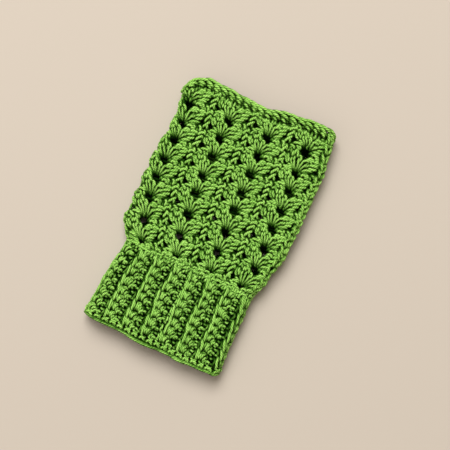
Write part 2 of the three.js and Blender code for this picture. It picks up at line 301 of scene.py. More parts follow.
def close_strands():
    """Merges the caps of the active mesh's strands with their sides, and turns faces outwards."""
    bpy.ops.object.mode_set(mode="EDIT")
    bpy.ops.mesh.select_all(action="SELECT")
    bpy.ops.mesh.remove_doubles(threshold=MERGE_WITHIN)
    bpy.ops.mesh.normals_make_consistent(inside=False)
    bpy.ops.object.mode_set(mode="OBJECT")
    bpy.ops.object.shade_smooth()


def lengthen_uv(mesh, lengths, quads, sides):
    """Makes U count mm along each strand. The end caps come first, the last strand's first."""
    uv = np.empty(2 * len(mesh.loops), np.float32)
    mesh.uv_layers[0].data.foreach_get("uv", uv)
    # a strand has two caps of sides - 2 triangles, and each quad along it has four corners
    caps = np.repeat(lengths[::-1], 2 * 3 * (sides - 2))
    uv[0::2] *= np.concatenate([caps, np.repeat(lengths, 4 * quads)])
    mesh.uv_layers[0].data.foreach_set("uv", uv)


print("Sides and steps of a fine strand:", FINE, "and of a coarse one:", COARSE)

# %% [markdown]
# ## How light reaches a strand
#
# Deep between the loops real yarn is nearly black, and on top it is bright. Renderers darken
# crevices by themselves, but strands 2 mm thick leave only shallow ones. So each point also
# stores, as an attribute called "lit", how much light gets to it. That depends on its depth below
# the top of the wall, and on how far it lies below the highest strand within a millimetre or so.
# The material paints the yarn darker where little light gets, as painted shade deep in the fabric,
# in the crevices between strands and inside the mitt.

# %% Store the light on a mesh
# Painted shade: these set how dark the yarn's colour is painted deep in the wall, in crevices and
# inside the mitt.
DARK_LIFT, BRIGHT_LIFT = 0.2, 2.4  # distance from the wall's middle where yarn is dark or bright
CREVICE, CREVICE_START, CREVICE_DEPTH = 0.8, 0.2, 1.3  # share of the light lost, and from where
INSIDE_LIGHT = 0.45  # light on the inside of the mitt
NO_STRAND = -9.0  # lift where the grid holds no strand


def highest_near(run, along, lift):
    """The greatest lift within about a millimetre of each point, by way of a 1 mm grid."""
    cell = np.stack([run - run.min(), along - along.min()]).astype(int)
    tops = np.full(cell.max(axis=1) + 3, NO_STRAND)
    np.maximum.at(tops, tuple(cell + 1), lift)
    for axis in (0, 1):
        tops = np.maximum(tops, np.maximum(np.roll(tops, 1, axis), np.roll(tops, -1, axis)))
    return tops[tuple(cell + 1)]


def light_reach(points, section):
    """How much light gets to each point, from 0 deep in the fabric to 1 on top of a strand."""
    x, y, z = (points - ORIGIN_SHIFT).T
    s = around_at(y, section)
    across = np.clip(x / np.where(x < 0, s["left"], s["right"]), -1, 1)
    z = z - s["base"]
    z = z - FRONT_CROWN * np.clip(z / (2 * s["radius"]), 0, 1) * (1 - across**2) - s["radius"]
    flat = np.where(x < 0, s["flat_left"], s["flat_right"])
    beyond = np.maximum(0, np.abs(x) - flat)
    lift = np.hypot(beyond, z) - s["radius"]
    short = np.maximum(0, flat - np.abs(x)) * np.where(z < 0, 1, -1)
    run = np.sign(x) * (flat + s["radius"] * np.arctan2(beyond, z) + short)
    below = highest_near(run, y, lift) - lift
    # Painted shade: darker deep in the wall and in crevices below a higher strand, and darker
    # inside the mitt.
    outside = smooth((lift - DARK_LIFT) / (BRIGHT_LIFT - DARK_LIFT))
    outside = outside * (1 - CREVICE * smooth((below - CREVICE_START) / CREVICE_DEPTH))
    inside = INSIDE_LIGHT * smooth((-lift - DARK_LIFT) / (BRIGHT_LIFT - DARK_LIFT))
    return np.where(lift > 0, outside, inside)


def store_light(mesh, section):
    """Keeps the mesh above the floor, and stores how much light gets to each point of it."""
    points = np.empty(3 * len(mesh.vertices), np.float32)
    mesh.vertices.foreach_get("co", points)
    points[2::3] = np.maximum(points[2::3], 0.0)
    mesh.vertices.foreach_set("co", points)
    # The material paints this into the yarn's colour, as painted shade.
    lit = mesh.attributes.new("lit", "FLOAT", "POINT")
    reached = light_reach(points.reshape(-1, 3) * 1000, section)
    lit.data.foreach_set("value", reached.astype(np.float32))


on_top = on_wall(np.array([0.1]), np.array([100.0]), np.array([2.2]), HAND_SECTION)
print("Light on top of the front:", light_reach(on_top, HAND_SECTION).round(2).tolist())


# %% One mesh object from placed strokes
def lay_yarn(name, detail, section, *batches):
    """Lays batches of placed strokes, each (counts, radius, points in mm), as one mesh."""
    sides, steps = detail
    curve = bpy.data.curves.new(name, "CURVE")
    curve.dimensions = "3D"
    curve.bevel_depth = MM  # so that a radius of 1 is 1 mm
    curve.bevel_resolution = sides // 2 - 2
    curve.use_fill_caps = True
    lengths, quads = draw_strands(curve, sides, steps, batches)
    piece = bpy.data.objects.new(name, curve)
    bpy.context.scene.collection.objects.link(piece)
    curve_to_mesh(piece)
    lengthen_uv(piece.data, lengths, quads, sides)
    close_strands()
    store_light(piece.data, section)
    piece.data.calc_loop_triangles()
    print(f"{name}: {len(lengths)} strokes, {len(piece.data.loop_triangles)} triangles")
    return piece


# %% [markdown]
# ## The shell chart
#
# A shell is a fan of tall stitches worked into one eyelet. Seen from the front, thin strands rise
# out of the dark eyelet, the tall stitches on the right lie over each other as slanting leaves,
# those on the left show their narrow loops end on, and small arches of chain close the row above.
# The chart counts millimetres from the middle of an eyelet, and the next eyelet is 12.4 mm above.
# A slim post of crossed strands stands between two shells.

# %% Strokes of one shell
CELL_WIDTH, CELL_HEIGHT = 25.0, 12.4
FAN = [  # thin strands that come up out of the eyelet
    stroke(0.72, 0.0, (-2.7, 0.4, -3.0), (-3.5, 2.0, -1.1), (-4.8, 3.4, 0.1), (-6.3, 4.3, 0.3),
           (-7.8, 4.8)),
    stroke(0.58, 0.0, (-2.1, 0.8, -3.2), (-2.9, 2.5, -0.9), (-3.9, 4.2, 0.2), (-4.9, 5.6, 0.4),
           (-5.6, 7.0)),
    stroke(0.56, 0.0, (-1.3, 1.0, -3.3), (-1.8, 2.8, -0.9), (-2.5, 4.6, 0.3), (-3.2, 6.3, 0.5),
           (-3.6, 7.9)),
    stroke(0.56, 0.0, (-0.5, 1.1, -3.3), (-0.7, 3.0, -0.9), (-0.9, 4.9, 0.3), (-1.2, 6.7, 0.5),
           (-1.3, 8.3)),
    stroke(0.56, 0.0, (0.3, 1.1, -3.3), (0.5, 3.0, -0.9), (0.8, 4.8, 0.3), (1.1, 6.5, 0.5),
           (1.2, 8.0)),
    stroke(0.56, 0.0, (1.0, 1.0, -3.3), (1.6, 2.7, -0.9), (2.5, 4.4, 0.3), (3.3, 5.8, 0.5),
           (4.1, 7.0)),
    stroke(0.72, 0.0, (1.7, 0.6, -3.0), (2.8, 2.1, -1.0), (4.3, 3.2, 0.2), (5.9, 3.8, 0.5),
           (7.3, 4.1, 0.4), (8.7, 4.2)),
]
print("Strokes of the fan:", len(FAN))

# %% Strokes of the leaves on both sides of a shell
RIGHT_LEAVES = [
    stroke(0.86, 0.1, (3.6, 2.2), (5.0, 2.7, -0.3), (6.8, 3.0, -0.2), (8.4, 3.1)),
    stroke(0.90, 0.2, (4.8, 5.0), (6.2, 5.2), (7.7, 5.7), (8.9, 6.3), (9.7, 6.9)),
    stroke(0.92, 0.4, (4.7, 6.9), (6.0, 7.2), (7.5, 7.9), (8.8, 8.3), (9.8, 8.4)),
    stroke(0.92, 0.4, (6.2, 8.9), (6.9, 9.9), (8.2, 10.4), (9.8, 10.2), (11.2, 9.6)),
    stroke(0.72, 0.0, (6.5, 8.2), (7.6, 9.1), (9.2, 9.3), (10.8, 9.0)),
    stroke(0.92, 0.3, (2.3, 9.0), (3.0, 9.9), (4.3, 10.3), (5.4, 9.8), (5.9, 8.8)),
    stroke(0.72, 0.1, (1.5, 8.3), (2.5, 9.0), (3.8, 9.0), (4.9, 8.4), (5.2, 7.5)),
    stroke(0.72, 0.3, (1.0, 5.8), (1.1, 7.0), (2.0, 7.9), (3.3, 8.1), (4.3, 7.5)),
    stroke(0.70, 0.2, (4.9, 7.4), (4.7, 6.3), (4.0, 5.6), (3.0, 5.3), (2.0, 5.4)),
    stroke(0.72, 0.0, (5.0, 11.0), (6.0, 11.6), (7.3, 11.6), (8.3, 10.9)),
]
LEFT_LEAVES = [
    stroke(0.80, 0.2, (-7.0, 4.9), (-8.3, 5.7), (-9.4, 7.0), (-9.9, 8.6), (-9.7, 10.3)),
    stroke(0.66, 0.2, (-7.1, 8.8), (-7.3, 7.6), (-7.0, 6.4), (-6.6, 5.6)),
    stroke(0.70, 0.3, (-8.8, 10.2), (-8.7, 9.0), (-8.3, 7.6), (-7.8, 6.6)),
    stroke(0.68, 0.2, (-5.4, 8.8), (-5.6, 7.6), (-5.3, 6.4), (-4.8, 5.5)),
    stroke(0.72, 0.3, (-6.6, 11.7), (-6.7, 10.6), (-6.5, 9.4), (-6.1, 8.5)),
    stroke(0.80, 0.4, (-4.9, 12.4), (-5.3, 11.2), (-5.4, 10.0), (-5.1, 8.9)),
    stroke(0.78, 0.3, (-4.6, 12.2), (-4.1, 11.0), (-3.5, 10.1), (-3.0, 9.1), (-2.7, 8.1)),
    stroke(0.68, 0.2, (-4.2, 9.4), (-4.1, 8.2), (-3.8, 7.2), (-3.2, 6.4)),
    stroke(0.76, 0.4, (-2.3, 9.3), (-1.5, 9.3), (-0.7, 8.6), (-0.4, 7.5), (-0.5, 6.2)),
    stroke(0.62, 0.1, (-2.2, 8.4), (-1.7, 7.7), (-1.6, 6.8), (-2.0, 5.8)),
    stroke(0.74, 0.2, (-10.2, 10.0), (-9.8, 11.0), (-9.0, 11.3), (-8.0, 10.8)),
    stroke(0.70, 0.0, (-8.2, 12.4), (-8.0, 11.4), (-7.6, 10.4), (-7.5, 9.4)),
]
print("Strokes of the leaves:", len(RIGHT_LEAVES), "and", len(LEFT_LEAVES))

# %% Strokes of the chains below a shell, and of a post
CHAINS = [  # arches on the row line, between the eyelet and the posts
    stroke(0.84, 0.4, (-9.4, 1.9), (-8.2, 2.5), (-6.6, 2.8), (-5.1, 2.5), (-4.1, 1.6)),
    stroke(0.84, 0.3, (-10.6, 1.9), (-9.4, 1.4), (-8.2, 0.9), (-7.2, 0.2), (-6.7, -0.8)),
    stroke(0.80, 0.2, (-6.9, 1.6), (-6.0, 1.0), (-5.2, 0.3), (-4.7, -0.7), (-4.8, -1.9)),
    stroke(0.72, -0.2, (-5.2, 1.6), (-4.4, 1.1), (-3.8, 0.3), (-3.7, -0.9)),
    stroke(0.72, 0.0, (-9.8, -1.8), (-9.4, -0.7), (-8.6, 0.0), (-7.8, -0.6)),
    stroke(0.84, 0.4, (3.3, -0.9), (3.7, 0.2), (4.8, 0.7), (6.0, 0.2), (6.8, -0.7)),
    stroke(0.76, 0.3, (5.6, 1.9), (6.6, 1.4), (7.4, 0.5), (7.8, -0.7)),
    stroke(0.80, 0.4, (8.4, 2.2), (9.5, 2.2), (10.4, 1.3), (10.6, 0.0), (10.4, -1.2)),
    stroke(0.72, -0.1, (8.2, 0.8), (8.8, 0.2), (9.1, -0.8), (9.0, -1.9)),
    stroke(0.76, -0.3, (3.2, 1.6), (4.4, 2.0), (5.8, 2.2), (7.2, 2.0)),
]
POST = [  # counted from the middle of the post
    stroke(0.80, 0.4, (-1.5, 1.4), (-1.1, 3.0), (-0.1, 4.4), (1.0, 5.6), (1.5, 6.8)),
    stroke(0.76, 0.0, (1.4, 1.6), (1.2, 3.0), (0.5, 4.4), (-0.4, 5.6)),
    stroke(0.80, 0.4, (-1.5, 4.8), (-1.4, 6.2), (-0.6, 7.6), (0.5, 8.8), (1.3, 9.8)),
    stroke(0.76, 0.1, (1.4, 7.3), (1.3, 8.4), (0.6, 9.4), (-0.3, 10.2)),
    stroke(0.84, 0.4, (-1.6, 8.6), (-1.5, 10.0), (-0.7, 11.2), (0.5, 11.8), (1.4, 12.4)),
    stroke(0.80, 0.3, (1.6, 10.4), (1.5, 11.6), (0.9, 12.8), (0.0, 13.8)),
    stroke(0.72, 0.0, (-2.2, 11.4), (-1.9, 12.4), (-1.2, 13.2), (-0.2, 13.4)),
]
SHELL = FAN + RIGHT_LEAVES + LEFT_LEAVES + CHAINS
print("Strokes in one shell:", len(SHELL), "and in one post:", len(POST))

# %% [markdown]
# Under the strokes that show lies the rest of each stitch. It closes the small gaps between the
# loops and is what one sees inside the mitt. It needs no drawing by hand: short strands on a
# regular grid do it, left out where the eyelets and the gaps beside the posts go through.

# %% The under layer's chart
UNDER_STEP, ROW_CROWDING = 2.4, 1.2  # mm between strands, and how much closer their rows lie
UNDER_RADIUS, UNDER_REACH, UNDER_DIP = 1.0, 1.8, 0.5
FAN_FOOT = 3.0  # how far below the cell the strands' directions meet
SHELL_UNDER_LIFT = -1.0
# columns: right, up, half width, half height
SHELL_HOLES = [
    (-0.3, -0.9, 3.6, 2.9),
    (0.5, 11.0, 3.2, 2.6),
    (-9.0, 3.9, 1.9, 1.7),
    (10.3, 5.4, 1.4, 2.9),
]


def under_chart(width, height, holes, lift):
    """Short strands on a grid over one chart cell, fanning out from its lower middle."""
    chart = []
    columns, rows = round(width / UNDER_STEP), round(height / UNDER_STEP * ROW_CROWDING)
    for i in range(columns):
        for j in range(rows):
            u = ((i + 0.5 * (j % 2)) / columns - 0.5) * width
            v = (j + 0.5) / rows * height
            if any(((u - a) / p) ** 2 + ((v - b) / q) ** 2 < 1 for a, b, p, q in holes):
                continue
            lean = math.atan2(u, v + FAN_FOOT)
            du, dv = UNDER_REACH * math.sin(lean), UNDER_REACH * math.cos(lean)
            chart.append(stroke(UNDER_RADIUS, lift, (u - du, v - dv, lift - UNDER_DIP), (u, v),
                                (u + du, v + dv, lift - UNDER_DIP)))
    return chart


SHELL_UNDER = under_chart(CELL_WIDTH, CELL_HEIGHT, SHELL_HOLES, SHELL_UNDER_LIFT)
CLOSED_UNDER = under_chart(CELL_WIDTH, CELL_HEIGHT, [], SHELL_UNDER_LIFT)
print("Strokes under one shell:", len(SHELL_UNDER), "and where no eyelet is:", len(CLOSED_UNDER))

# %% [markdown]
# ## From the flat chart to the mitt
#
# A crocheter works round after round. Here the chart is copied to each place around and along,
# moved a little by a smooth random drift so that no two shells are quite alike, and each point is
# put on the wall. An array modifier would repeat a shell too, but every copy would be the same.

# %% Place chart strokes on the wall
DRIFT_WAVES = 14
DRIFT_SIZE = np.array([0.12, 0.12, 0.05])  # mm to the side, along and out of the wall
AROUND_RANGE, ALONG_RANGE = (2, 9), (0.1, 0.5)  # waves around the mitt, and radians for each mm
FULL_TURN = 6.28  # radians, near enough
SCATTER, TIGHT = 0.06, 0.12  # mm that a point, and a whole stroke, strays
OUTWARD_SHARE = 0.7  # how much of the straying also goes out of the wall
FLOOR_GAP = 0.85  # how near a strand's middle comes to the floor, in its radii
drift_waves = [
    (rng.integers(*AROUND_RANGE), rng.uniform(*ALONG_RANGE), rng.uniform(0, FULL_TURN, 3))
    for _ in range(DRIFT_WAVES)
]


def drift(right, along):
    """A smooth wander of the stitches, in mm, the same for all that lie close together."""
    move = np.zeros(right.shape + (3,))
    for count, wave, phase in drift_waves:
        for axis in range(3):
            move[..., axis] += np.sin(2 * math.pi * count * right + wave * along + phase[axis])
    return move * DRIFT_SIZE


def place(laid, right, along, section, swell, loose=TIGHT):
    """Puts strokes on the wall, each a little off its place in the chart."""
    counts, radius = laid["counts"], laid["radius"]
    strays = rng.normal(0, loose, (len(counts), 3))
    wander = drift(right, along) + np.repeat(strays, counts, axis=0)
    wander = wander + rng.normal(0, SCATTER, wander.shape)
    right = right + wander[:, 0] / around_at(along, section)["around"]
    wall, relief = section
    offset = wall / 2 - radius + relief * swell + laid["height"] + OUTWARD_SHARE * wander[:, 2]
    points = on_wall(-right, along + wander[:, 1], offset, section)
    points[:, 2] = np.maximum(points[:, 2], FLOOR_GAP * radius)
    return counts, radius, points


print("Waves of drift:", len(drift_waves))

# %% [markdown]
# ## The thumb slit and the left corner
#
# The thumb comes out through a slit in the right fold. One could cut it with a boolean, but cut
# strands look like cut strands. A real slit is a place where two columns of stitches were not
# joined, so the strokes near it are moved aside, each to its own side. In the same way the last
# shell at the left corner is pulled towards the fold, because the real one sits almost on it.

# %% Part the stitches at the slit, and pull them to the corner
SLIT_START, SLIT_LENGTH, SLIT_GAPE = HAND_START + 27.0, 37.0, 5.0
SLIT_MIDDLE = SLIT_START + SLIT_LENGTH / 2
SLIT_BLUNT = 1.6  # how soon the slit is at its full width
SLIT_EASE, SLIT_REACH = 6.0, 9.0  # mm over which the moved stitches ease back, and where they end
SLIT_MARGIN = 0.6  # room for the rim
CORNER_PULL = (-4.0, 1.6)  # mm that the stitches there move rightwards and towards the fingers
CORNER_REACH = 16.0  # mm around the mitt
CORNER_LENGTH, CORNER_FADE = 22.0, 16.0  # mm from the hand's end, and mm to the full pull
slit_section = around_at(np.array(SLIT_MIDDLE), HAND_SECTION)
SLIT_RIGHT = float((slit_section["flat_right"] - slit_section["wale"] + slit_section["fold"] / 2)
                   / slit_section["around"])


def slit_half(along):
    """Half the width that the thumb slit gapes at each height, in mm."""
    q = np.clip(1 - np.abs(along - SLIT_MIDDLE) / (SLIT_LENGTH / 2), 0, 1)
    return SLIT_GAPE / 2 * np.sqrt(np.clip(q * SLIT_BLUNT, 0, 1))


def part_at_slit(laid, right, along):
    """Moves the strokes near the thumb slit, each to its own side of it."""
    half = slit_half(along)
    around = around_at(along, HAND_SECTION)["around"]
    beside = (np.mod(right - SLIT_RIGHT + 0.5, 1.0) - 0.5) * around
    side = np.where(stroke_mean(laid, beside) > 0, 1.0, -1.0)
    inside = np.maximum(side * beside, 0.0)
    parted = inside + (half + SLIT_MARGIN) * np.exp(-inside / SLIT_EASE)
    near = (half > 0) & (inside < SLIT_REACH)
    return np.where(near, right + side * (parted - side * beside) / around, right)


def pull_to_corner(right, along):
    """Moves the stitches at the finger end's left corner towards the fold and the edge."""
    s = around_at(along, HAND_SECTION)
    fold = -(s["flat_left"] + s["wale"] + s["fold"] / 2) / s["around"]
    beside = (np.mod(right - fold + 0.5, 1.0) - 0.5) * s["around"]
    fade = smooth((along - HAND_END + CORNER_LENGTH) / CORNER_FADE)
    pull = np.exp(-(beside / CORNER_REACH) ** 2) * fade
    return right + CORNER_PULL[0] * pull / s["around"], along + CORNER_PULL[1] * pull


print("The slit lies at this turn from the eyelet line:", round(SLIT_RIGHT, 3))

# %% [markdown]
# ## The hand part
#
# All rounds of shells come from the one chart. The CAD relief swells under each fan and post, and
# the strands follow that swelling. A chain of strands edges the slit, and two columns of strands
# run down the right fold like a chain, as they do where rounds are joined.

# %% Work the rounds of shells
FAN_NARROWING = 1.25
FAN_FOOT_RISE, FAN_SPAN = 0.2, 0.65  # part of a half wave over the height of a round
POST_SHARE, POST_HEIGHT = 0.14, 0.6  # a post's half width as a share of a shell, and its swell


def shell_swell(right, along):
    """How far the shells stand out of the wall, from 0 to 1."""
    beside = np.mod(right * SHELLS_AROUND + 0.5, 1.0) - 0.5
    rise = np.interp(along, ROUND_STARTS, np.arange(ROUNDS + 1.0)) % 1.0
    fan = np.maximum(0, np.cos(FAN_NARROWING * math.pi * beside))
    post = np.maximum(0, 1 - (0.5 - np.abs(beside)) / POST_SHARE)
    return fan * np.sin(math.pi * (FAN_FOOT_RISE + FAN_SPAN * rise)) + POST_HEIGHT * post


def row_place(row, up):
    """Distance along the mitt of a chart height in a round of shells."""
    at = row + up / CELL_HEIGHT
    low = np.clip(np.floor(at).astype(int), 0, ROUNDS - 1)
    return ROUND_STARTS[low] + (at - low) * ROUND_HEIGHTS[low]


def place_in_hand(laid):
    """Puts strokes of the shell chart on the hand part."""
    right = (laid["column"] + laid["u"] / CELL_WIDTH) / SHELLS_AROUND
    along = row_place(laid["row"], laid["v"])
    right, along = pull_to_corner(right, along)
    right = part_at_slit(laid, right, along)
    return place(laid, right, along, HAND_SECTION, shell_swell(right, along))


def work_hand(rows, shell_chart, post_chart):
    """Shells and posts of some rounds."""
    return place_in_hand(repeat([
        (chart, column, row) for row in rows for shell in range(SHELLS_AROUND)
        for chart, column in ((shell_chart, shell), (post_chart, shell + 0.5))
    ]))


print("Shells in all:", ROUNDS * SHELLS_AROUND)

# %% Rim of the slit, and the braid down the right fold
RIM = [stroke(0.85, 0.2, (0, -2.6), (0.2, -0.9), (-0.2, 0.9), (0, 2.6))]
RIM_STRANDS, RIM_MARGIN, RIM_SWELL = 13, 0.5, 0.3
BRAID = [
    stroke(0.88, 0.7, (-2.0, 3.3), (-1.7, 1.3), (-0.9, -0.8), (-0.1, -2.6)),
    stroke(0.88, 0.7, (1.8, 3.5), (1.6, 1.5), (0.9, -0.5), (0.2, -2.4)),
]
BRAID_PITCH, BRAID_START, BRAID_SWELL = 4.6, 3.0, 0.6
BRAID_TURN = 0.24  # where it runs, from the front at 0 to the back at 1


def slit_rim():
    """A chain of strands along each side of the thumb slit."""
    laid = repeat([(RIM, side, k) for side in (-1, 1) for k in range(RIM_STRANDS)])
    along = SLIT_START + laid["row"] / (RIM_STRANDS - 1) * SLIT_LENGTH + laid["v"]
    around = around_at(along, HAND_SECTION)["around"]
    beside = laid["column"] * (slit_half(along) + RIM_MARGIN) + laid["u"]
    return place(laid, SLIT_RIGHT + beside / around, along, HAND_SECTION, RIM_SWELL)


def fold_braid():
    """Two columns of strands, like a chain, that run down the right fold."""
    laid = repeat([(BRAID, 0, k) for k in range(round(HAND / BRAID_PITCH))])
    along = HAND_START + BRAID_START + laid["row"] * BRAID_PITCH + laid["v"]
    s = around_at(along, HAND_SECTION)
    right = (s["flat_right"] - s["wale"] + BRAID_TURN * s["fold"] + laid["u"]) / s["around"]
    return place(laid, right, along, HAND_SECTION, BRAID_SWELL)


rim, braid = slit_rim(), fold_braid()
print("Strands of the rim and the braid:", len(rim[0]), len(braid[0]))

# %% Lay the hand's yarn
CORNER_SHELL = 6  # counted rightwards from the eyelet line
hand_pieces = [
    lay_yarn("shell_rounds_1", FINE, HAND_SECTION, work_hand(range(0, 3), SHELL, POST)),
    lay_yarn("shell_rounds_2", FINE, HAND_SECTION, work_hand(range(3, 6), SHELL, POST), rim),
    lay_yarn("shell_rounds_3", FINE, HAND_SECTION, work_hand(range(6, ROUNDS), SHELL, POST), braid),
]
hand_pieces.append(lay_yarn(
    "hand_under_layer", COARSE, HAND_SECTION, work_hand(range(ROUNDS), SHELL_UNDER, []),
    place_in_hand(repeat([(CLOSED_UNDER, CORNER_SHELL, ROUNDS - 1)])),
))

# %% [markdown]
# ## The ribbed cuff
#
# The cuff is worked sideways, so its ribs run along the arm. Each rib shows a smooth ridge of long
# strands, a row of round tufts on its right, a row of lower arches, and dark holes before the next
# ridge. One chart cell holds one stitch of one rib, 12 mm wide and 5.75 mm long. Two rows of small
# loops cover the seam where the shells begin.

# %% Strokes of one stitch of a rib, and of the join
RIB_WIDTH, RIB_STITCH, RIB_STITCHES = 12.0, 5.75, 8
RIB = [
    stroke(0.80, 0.9, (-1.0, 4.3, -0.3), (-0.8, 2.5), (-0.4, 0.5), (0.0, -1.5), (0.3, -3.3, -0.3)),
    stroke(0.66, 0.4, (0.0, 3.2, -0.6), (0.4, 1.8), (0.8, 0.4), (0.9, -1.0, -0.6)),
    stroke(0.70, 0.3, (1.5, -2.4, -1.6), (1.5, -1.0, -0.1), (1.7, 0.5, 0.4), (2.4, 1.3),
           (2.7, 0.4, -0.8)),
    stroke(0.74, 0.5, (2.8, -2.3, -1.6), (2.7, -0.9, 0.1), (2.9, 0.7, 0.7), (3.5, 1.7),
           (4.0, 0.8, -0.8)),
    stroke(0.70, 0.2, (4.0, -2.7, -1.6), (4.0, -1.4, -0.2), (4.3, -0.1, 0.4), (4.9, 0.6),
           (5.4, -0.1, -1.0)),
    stroke(0.64, 0.1, (1.1, 2.9), (1.7, 2.0), (1.5, 0.9), (1.1, 0.2)),
    stroke(0.62, 0.0, (2.1, 2.6), (2.9, 2.4), (3.6, 2.6), (4.3, 2.1), (4.7, 1.2)),
    stroke(0.74, 0.3, (5.0, -3.8, -1.6), (5.0, -2.4, -0.1), (5.5, -1.2), (6.4, -0.9),
           (6.8, -1.9, -1.0)),
    stroke(0.74, 0.3, (6.4, -3.2, -1.6), (6.6, -2.0, -0.3), (7.2, -1.0), (8.1, -1.2),
           (8.4, -2.5, -1.0)),
    stroke(0.70, -0.3, (5.7, 1.7), (6.0, 0.7), (5.8, -0.2), (5.4, -1.0)),
    stroke(0.70, -0.4, (7.1, 2.0, -1.6), (7.7, 1.2), (8.6, 1.1), (9.4, 1.9, -1.4)),
    stroke(0.72, -0.1, (9.5, 2.3), (10.3, 1.1), (10.3, -0.5), (9.8, -1.8)),
    stroke(0.64, -0.2, (9.0, -2.4), (9.6, -1.8), (10.3, -2.0), (10.8, -3.0)),
    stroke(0.60, -0.2, (6.0, -3.0), (6.7, -2.5), (7.3, -2.7), (7.6, -3.5)),
]
CUFF_UNDER_LIFT = -2.1
CUFF_UNDER = under_chart(RIB_WIDTH, RIB_STITCH, [], CUFF_UNDER_LIFT)
JOIN = [
    stroke(0.76, 0.2, (-1.8, -0.7), (-1.1, 0.5), (0.1, 0.9), (1.2, 0.4), (1.7, -0.8)),
    stroke(0.72, 0.1, (-0.9, -2.7), (-0.6, -1.5), (0.0, -0.7), (0.7, -0.3)),
    stroke(0.72, 0.1, (1.1, -2.9), (1.1, -1.7), (1.4, -0.7), (2.0, 0.1)),
]
print("Strokes in one stitch of a rib:", len(RIB), "and in one of the join:", len(JOIN))

# %% Place the ribs and the join
RIB_SLIP = 0.7  # how far neighbouring ribs may be out of step
RIB_START = 1.5  # the first stitch's middle, and how far its end reaches into the edging
RIB_LOOSE, UNDER_LOOSE, JOIN_LOOSE = 0.22, 0.1, 0.35  # mm that a stroke strays
RIB_SWELL, RIDGE_SWELL, RIDGE_TURN = 0.6, 0.3, 0.2
FOLD_WIDTH, FOLD_FLATTENING = 4.5, 0.75  # mm, and the share of the height that is pressed away
WRIST_ROUND, JOIN_PITCH = 176.0, 3.6  # mm around the wrist, and mm for one stitch
JOIN_START, JOIN_ROW, JOIN_SWELL = -3.4, 2.4, 0.2  # first row from the hand's start, row height


def rib_swell(right):
    """The ridge side of a rib stands out more than its hollow side."""
    return RIB_SWELL + RIDGE_SWELL * np.cos(2 * math.pi * (right * RIBS_AROUND - RIDGE_TURN))


def fold_nearness(right, along):
    """1 in the middle of a side fold of the cuff, 0 a few millimetres away from it."""
    s = around_at(along, CUFF_SECTION)
    folds = [(s["flat_right"] - s["wale"] + s["fold"] / 2) / s["around"],
             -(s["flat_left"] + s["wale"] + s["fold"] / 2) / s["around"]]
    near = [np.mod(right - fold + 0.5, 1.0) - 0.5 for fold in folds]
    return sum(np.exp(-(gap * s["around"] / FOLD_WIDTH) ** 2) for gap in near)


def work_cuff(chart, ribs, loose):
    """Some of the ribs, stitch by stitch, pressed flatter at the folds."""
    laid = repeat([(chart, rib, stitch) for rib in ribs for stitch in range(RIB_STITCHES)])
    slips = rng.uniform(-RIB_SLIP, RIB_SLIP, RIBS_AROUND)
    right = (laid["column"] + laid["u"] / RIB_WIDTH) / RIBS_AROUND
    along = (CUFF_START + RIB_START + laid["row"] * RIB_STITCH + laid["v"]
             + slips[laid["column"]])
    along = np.maximum(along, CUFF_START - RIB_START)
    flatter = 1 - FOLD_FLATTENING * fold_nearness(right - RIB_PHASE, along)
    laid["height"] = laid["height"] * flatter
    return place(laid, right - RIB_PHASE, along, CUFF_SECTION,
                 rib_swell(right) * flatter, loose)


def work_join():
    """Two rows of small loops where the shells begin."""
    count = round(WRIST_ROUND / JOIN_PITCH)
    laid = repeat([(JOIN, k + 0.5 * row, row) for k in range(count) for row in (0, 1)])
    right = (laid["column"] + laid["u"] / JOIN_PITCH) / count
    along = HAND_START + JOIN_START + JOIN_ROW * laid["row"] + laid["v"]
    return place(laid, right, along, CUFF_SECTION, JOIN_SWELL, JOIN_LOOSE)


cuff_pieces = [
    lay_yarn("cuff_ribs_1", FINE, CUFF_SECTION, work_cuff(RIB, range(0, 8), RIB_LOOSE)),
    lay_yarn("cuff_ribs_2", FINE, CUFF_SECTION, work_cuff(RIB, range(8, RIBS_AROUND), RIB_LOOSE)),
    lay_yarn("cuff_join", FINE, CUFF_SECTION, work_join()),
    lay_yarn("cuff_under_layer", COARSE, CUFF_SECTION,
             work_cuff(CUFF_UNDER, range(RIBS_AROUND), UNDER_LOOSE)),
]

# %% [markdown]
# ## Edgings
#
# Both open ends are finished with a round of small stitches under a chain that lies along the
# very edge. The chain's loops overlap like the plies of a rope. Each edging has an outer side, an
# inner side that lines the opening, and a last chain over the middle of the wall, which closes
# the edge as one looks into the mitt.

# %% Strokes of the edgings
EDGE_PITCH = 4.65
FINGER_CHAIN = [
    stroke(0.90, 0.5, (-4.4, 5.5, -0.5), (-1.8, 5.7, 0.2), (1.6, 5.2), (4.4, 4.4, -0.5)),
    stroke(0.94, 0.6, (-3.0, 3.7, -0.7), (-1.5, 4.0), (0.5, 3.3), (2.5, 1.9, -0.7)),
    stroke(0.80, 0.1, (-2.0, 1.8), (-0.9, 2.0), (0.4, 1.3), (1.5, 0.2)),
    stroke(0.76, -0.6, (-1.6, 0.8), (-1.4, -0.3), (-1.5, -1.5), (-1.8, -2.7)),
    stroke(0.76, -0.5, (0.7, 0.6), (1.0, -0.6), (0.8, -1.8), (0.1, -2.9)),
    stroke(0.74, -0.8, (-0.9, -0.9), (0.2, -1.4), (1.4, -1.3), (2.5, -0.6)),
]
WRIST_CHAIN = [
    stroke(0.94, -0.5, (-4.2, 0.3, -0.9), (-1.4, 0.4), (1.4, 0.4), (4.2, 0.3, -0.9)),
    stroke(0.80, 0.4, (-2.2, 1.6), (-1.7, 2.6), (-0.7, 3.2), (0.3, 2.6), (0.5, 1.6)),
    stroke(0.76, 0.2, (0.3, 4.4), (0.6, 3.3), (1.2, 2.4), (1.5, 1.3)),
    stroke(0.72, 0.2, (-0.8, 4.6), (-0.2, 3.9), (0.6, 4.1), (1.4, 4.8)),
    stroke(0.70, 0.0, (-2.2, 5.6), (-1.8, 4.6), (-1.2, 4.1), (-0.6, 3.6)),
]
